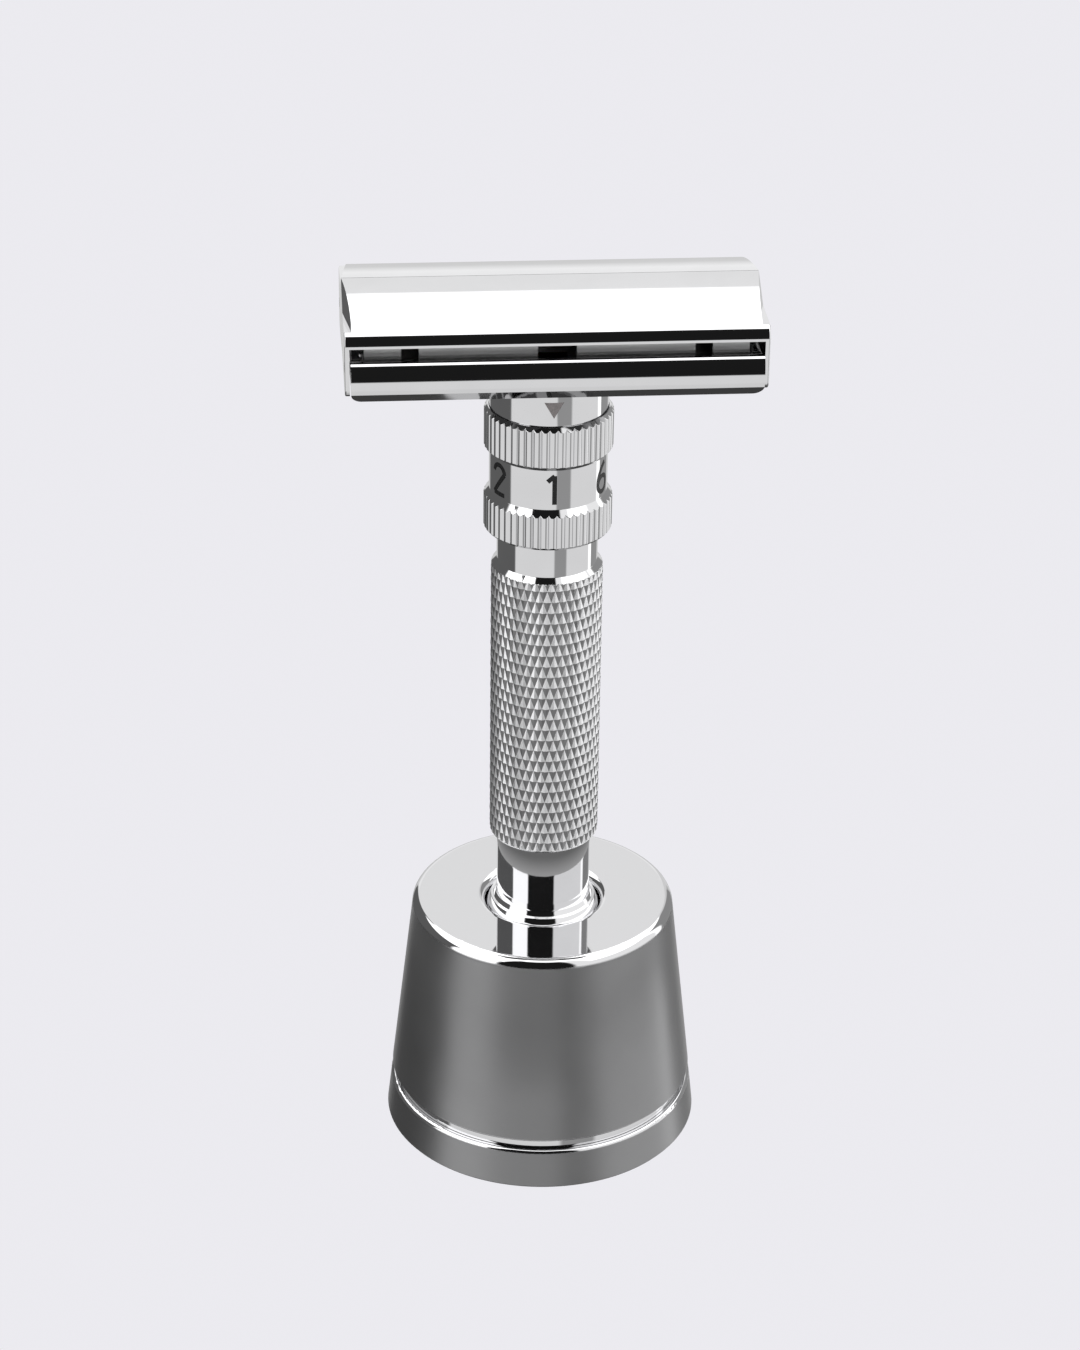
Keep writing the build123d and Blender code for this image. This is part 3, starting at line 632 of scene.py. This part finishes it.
def build_knob():
    rows = rounded([
        (0.0, KNOB_LOW_MM, 0),
        (KNOB_RADIUS_MM - 0.6, KNOB_LOW_MM, 0.1),
        (KNOB_RADIUS_MM, KNOB_LOW_MM + 0.6, 0.15),
        (KNOB_RADIUS_MM, KNOB_DRUM_TOP_MM + 0.02, 0.02),
        (KNOB_GROOVE_MM, KNOB_DRUM_TOP_MM + 0.3, 0.1),
        (KNOB_GROOVE_MM, KNOB_DRUM_TOP_MM + 1.0, 0.1),
        (KNOB_RADIUS_MM, KNOB_DRUM_TOP_MM + 1.3, 0.1),
        (KNOB_RADIUS_MM, KNOB_SHOULDER_MM, 0.06),
        (KNOB_RIM_MM, KNOB_RIM_TOP_MM, 0.10),
        (KNOB_RIM_MM - 0.3, KNOB_RIM_TOP_MM + 0.08, 0.06),
        (KNOB_NECK_MM + 0.08, KNOB_RIM_TOP_MM + 0.55, 0.3),
        (KNOB_NECK_MM, KNOB_RIM_TOP_MM + 1.45, 0.5),
        (KNOB_NECK_MM, KNOB_NECK_TOP_MM, 0.1),
        (STEM_RADIUS_MM, KNOB_NECK_TOP_MM, 0.05),
        (STEM_RADIUS_MM, STEM_SLOT_LOW_MM, 0.04),
        (STEM_SLOT_MM, STEM_SLOT_LOW_MM, 0.04),
        (STEM_SLOT_MM, STEM_SLOT_TOP_MM, 0.04),
        (STEM_RADIUS_MM, STEM_SLOT_TOP_MM, 0.04),
        (STEM_RADIUS_MM, KNOB_TOP_MM, 0.1),
        (SCREW_RADIUS_MM, KNOB_TOP_MM, 0.05),
        (SCREW_RADIUS_MM, SCREW_LOW_MM, 0.05),
        (0.0, SCREW_LOW_MM, 0),
    ])
    place(lathe("fluted_knob", rows, KNOB_SEGMENTS), "knob")


build_knob()

# Guard spring: the coil rides on the guard; the real one shortens as the guard drops, which this fixed coil
# does not show.
SPRING_TURNS = 4
SPRING_STEPS = 48 * SPRING_TURNS
SPRING_WIRE_MM = 0.2
SPRING_WIRE_SIDES = 12
SPRING_LOW_MM = bottom_of("guard_spring")
SPRING_TOP_MM = top_of("guard_spring")
SPRING_COIL_MM = radius_of("guard_spring") - SPRING_WIRE_MM


def build_spring():
    low = SPRING_LOW_MM + SPRING_WIRE_MM
    rise = SPRING_TOP_MM - SPRING_WIRE_MM - low
    vertices, faces = [], []
    for step in range(SPRING_STEPS + 1):
        angle = 2 * pi * SPRING_TURNS * step / SPRING_STEPS
        outward = Vector((cos(angle), sin(angle), 0))
        centre = outward * SPRING_COIL_MM + Vector((0, 0, low + rise * step / SPRING_STEPS))
        for side in range(SPRING_WIRE_SIDES):
            around = 2 * pi * side / SPRING_WIRE_SIDES
            point = centre + (outward * cos(around) + Vector((0, 0, sin(around)))) * SPRING_WIRE_MM
            vertices.append(point * MM)
    for step in range(SPRING_STEPS):
        here = step * SPRING_WIRE_SIDES
        ahead = here + SPRING_WIRE_SIDES
        for side in range(SPRING_WIRE_SIDES):
            after = (side + 1) % SPRING_WIRE_SIDES
            faces.append((here + side, ahead + side, ahead + after, here + after))
    last = SPRING_STEPS * SPRING_WIRE_SIDES
    faces.append(tuple(range(SPRING_WIRE_SIDES)))
    faces.append(tuple(reversed(range(last, last + SPRING_WIRE_SIDES))))
    spring = place(finished_mesh("coil_spring", vertices, faces), "guard_spring")
    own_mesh(spring)


build_spring()

# ------------------------------------------------------------------ stage, light and camera

BACKGROUND = (0.835, 0.828, 0.868)
FLOOR_SIZE = 6.0
FLOOR_HEIGHT = -0.0002


def glowing(name):
    """The start of a material that reflects nothing and only gives light."""
    s = Shader(name)
    s.surface(Base_Color=0, Roughness=1.0, Specular_IOR_Level=0.0, Emission_Strength=1.0)
    return s


def build_floor():
    """Pale floor that the camera sees and the chrome doesn't: the world gives its reflections."""
    bpy.ops.mesh.primitive_plane_add(size=FLOOR_SIZE, location=(0, 0, FLOOR_HEIGHT))
    floor = bpy.context.object
    floor.name = "floor"
    floor.data.materials.append(glowing("floor_pale").surface(Emission_Color=BACKGROUND))
    floor.visible_glossy = False
    floor.visible_diffuse = False


# Grey ring on the counter, by distance from the razor's axis: it fades in, then darkens outwards.
RING_FADE = (0.0565, 0.0600)
RING_SHADE = (0.0600, 0.0655)
RING_OUTER = 0.074
RING_LIGHT = 0.42
RING_DARK = 0.15
RING_SIDES = 64
RING_HEIGHT = 0.0001


def build_counter_ring():
    """Ring that is seen only in the chrome, where it shades the lower neck."""
    turns = [2 * pi * side / RING_SIDES for side in range(RING_SIDES)]
    corners = [(radius * cos(turn), radius * sin(turn), RING_HEIGHT)
               for radius in (RING_FADE[0], RING_OUTER) for turn in turns]
    faces = []
    for side in range(RING_SIDES):
        after = (side + 1) % RING_SIDES
        faces.append((side, RING_SIDES + side, RING_SIDES + after, after))
    mesh = bpy.data.meshes.new("counter_ring")
    mesh.from_pydata(corners, [], faces)
    ring = bpy.data.objects.new("counter_ring", mesh)
    bpy.context.scene.collection.objects.link(ring)
    s = glowing("counter_grey")
    radius = s.radius()
    grey = s.remap(radius, *RING_SHADE, RING_LIGHT, RING_DARK)
    ring.data.materials.append(s.surface(Emission_Color=grey, Alpha=s.remap(radius, *RING_FADE)))
    ring.visible_camera = False
    ring.visible_diffuse = False


# Light round the object, as (start angle, grey) panels: 0 is the camera's side, + is to the right.
ABOVE = [(-180, 0.75), (-160, 0.12), (-84, 1.6), (-42, 0.012),
         (23, 1.0), (104, 1.6), (113, 0.30), (150, 0.75)]
BELOW = [(-180, 0.75), (-160, 0.12), (-82, 0.80), (12, 0.33),
         (40, 0.80), (104, 1.6), (114, 0.32), (150, 0.75)]
COUNTER = [(-180, 0.14), (-8, 0.75), (18, 0.14)]
PANEL_EDGE = 3.0
# Degrees of elevation over which one height's panels give way to the next.
HORIZON = (-16.0, -12.5)
COUNTER_EDGE = (-41.0, -36.0)
# Far side, seen in faces that lean back: (elevation, grey) stops, from these degrees off the camera's side.
FAR = [(-60, 0.5), (-20, 0.6), (0, 0.72), (12, 1.02), (20, 1.0), (24, 0.9), (38, 0.93)]
FAR_START = 158.0
# White overhead panel. It starts lower at the sides, and leaves a wedge free above the camera.
OVERHEAD = 1.9
OVERHEAD_START = 40.0
SIDE_OVERHEAD_START = 34.0
SIDE_OVERHEAD_END = 146.0
WEDGE_HALF_ANGLE = 38.0
WEDGE_EDGE = 3.6
WEDGE_TOP = (68.0, 74.0)


def panel_stops(panels):
    """Ramp stops of (start angle, grey) panels, with soft edges between them."""
    stops = [(-180.0, panels[0][1])]
    for (start, grey), (_, grey_before) in zip(panels[1:], panels[:-1]):
        stops.append((start - PANEL_EDGE / 2, grey_before))
        stops.append((start + PANEL_EDGE / 2, grey))
    return [((angle + 180) / 360, grey) for angle, grey in stops]


def build_world():
    """Soft studio as light panels: dark behind the camera, white overhead, pale floor below."""
    world = bpy.data.worlds.new("studio")
    bpy.context.scene.world = world
    world.use_nodes = True
    w = NodeTree(world.node_tree)
    x, y, z = w.split(w.nodes.new("ShaderNodeTexCoord").outputs["Generated"])
    turn = w.math("ARCTAN2", x, w.math("MULTIPLY", y, -1.0))
    azimuth = w.math("ADD", w.math("DIVIDE", turn, 2 * pi), 0.5)
    elevation = w.math("MULTIPLY", w.math("ARCSINE", z), 180 / pi)
    off_axis = w.math("ABSOLUTE", w.math("SUBTRACT", azimuth, 0.5))

    above, below, counter = (w.ramp(azimuth, panel_stops(panels)) for panels in (ABOVE, BELOW, COUNTER))
    sides = w.mix(w.eased(elevation, *HORIZON), below, above)
    rise = w.math("ADD", w.math("DIVIDE", elevation, 180), 0.5)
    far = w.ramp(rise, [((angle + 90) / 180, grey) for angle, grey in FAR])
    around = w.mix(w.eased(off_axis, FAR_START / 360, (FAR_START + PANEL_EDGE) / 360), sides, far)
    low = w.mix(w.eased(elevation, *COUNTER_EDGE), counter, around)

    outside_wedge = w.eased(off_axis, WEDGE_HALF_ANGLE / 360, (WEDGE_HALF_ANGLE + WEDGE_EDGE) / 360)
    clear = w.math("MAXIMUM", outside_wedge, w.eased(elevation, *WEDGE_TOP))
    beside = w.math("SUBTRACT", 1.0, w.eased(off_axis, SIDE_OVERHEAD_END / 360, FAR_START / 360))
    side_cover = w.eased(elevation, SIDE_OVERHEAD_START, SIDE_OVERHEAD_START + PANEL_EDGE)
    cover = w.math("MAXIMUM", w.eased(elevation, OVERHEAD_START, OVERHEAD_START + PANEL_EDGE),
                   w.math("MULTIPLY", beside, side_cover))
    surround = w.mix(w.math("MULTIPLY", clear, cover), low, OVERHEAD)

    to_camera = w.nodes.new("ShaderNodeLightPath").outputs["Is Camera Ray"]
    w.feed(w.nodes["Background"].inputs["Color"], w.mix(to_camera, surround, BACKGROUND))


CAMERA_DISTANCE_MM = 338.2
CAMERA_HEIGHT_MM = 234.4
CAMERA_ASIDE_MM = -0.6
CAMERA_PITCH = radians(27.76)
CAMERA_ROLL = radians(0.714)
HEAD_YAW = radians(4.86)
CAMERA_LENS_MM = 92.4
SENSOR_WIDTH_MM = 36.0


def build_camera():
    """Camera in front and above; the razor's head is turned a little from square to it."""
    data = bpy.data.cameras.new("camera")
    data.lens = CAMERA_LENS_MM
    data.sensor_width = SENSOR_WIDTH_MM
    data.clip_start = 0.01
    camera = bpy.data.objects.new("camera", data)
    bpy.context.scene.collection.objects.link(camera)
    aim = Matrix.Rotation(pi / 2 - CAMERA_PITCH, 4, "X") @ Matrix.Rotation(CAMERA_ROLL, 4, "Z")
    stand_off = Matrix.Translation((CAMERA_ASIDE_MM * MM, -CAMERA_DISTANCE_MM * MM, CAMERA_HEIGHT_MM * MM))
    camera.matrix_world = Matrix.Rotation(-HEAD_YAW, 4, "Z") @ stand_off @ aim
    bpy.context.scene.camera = camera


build_floor()
build_counter_ring()
build_world()
build_camera()
bpy.context.scene.view_settings.view_transform = "Standard"
